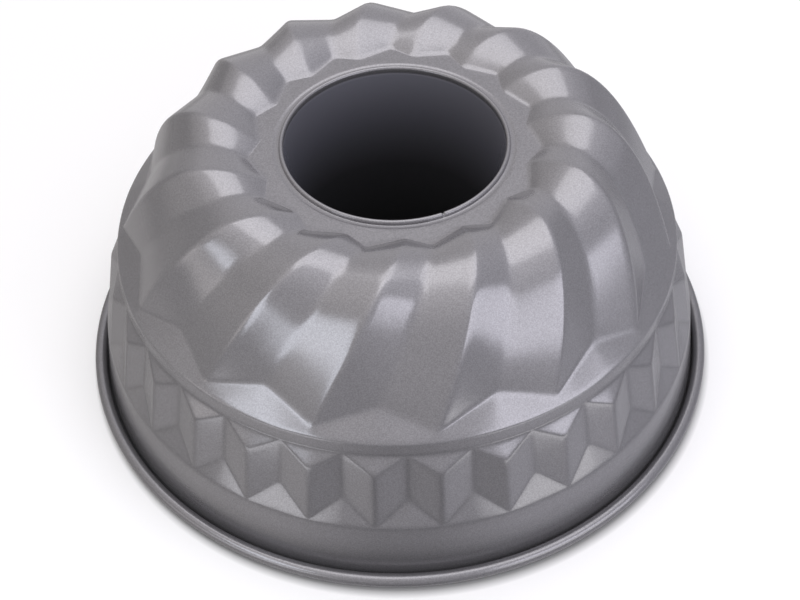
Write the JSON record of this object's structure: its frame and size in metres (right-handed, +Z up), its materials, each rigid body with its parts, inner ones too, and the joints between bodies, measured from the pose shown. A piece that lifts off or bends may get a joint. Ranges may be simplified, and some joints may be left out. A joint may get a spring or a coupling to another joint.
{
  "type": "kugelhopf mould",
  "caption": "Round fluted cake mould of coated sheet steel with swirled flutes, a prism band, a rolled rim and a hooked-in tapered centre tube.",
  "frame": {"origin": "centre of the rim's foot, in the plane the mould stands on when it lies mouth down", "axes": "+Z up along the axis of the mould, from the mouth to the land around the hole; -Y toward the viewer of the picture, +X to that viewer's right"},
  "size_m": [0.23, 0.23, 0.1025],
  "materials": {
    "shell_coat": "satin metallic grey non-stick coat with a fine grain",
    "tube_coat": "satin metallic grey non-stick coat with a fine grain",
    "wire_steel": "drawn steel wire, hidden in the rim"
  },
  "bodies": {
    "root": {"mould_shell": "shell_coat", "centre_tube": "tube_coat", "rim_wire": "wire_steel"}
  },
  "joints": []
}
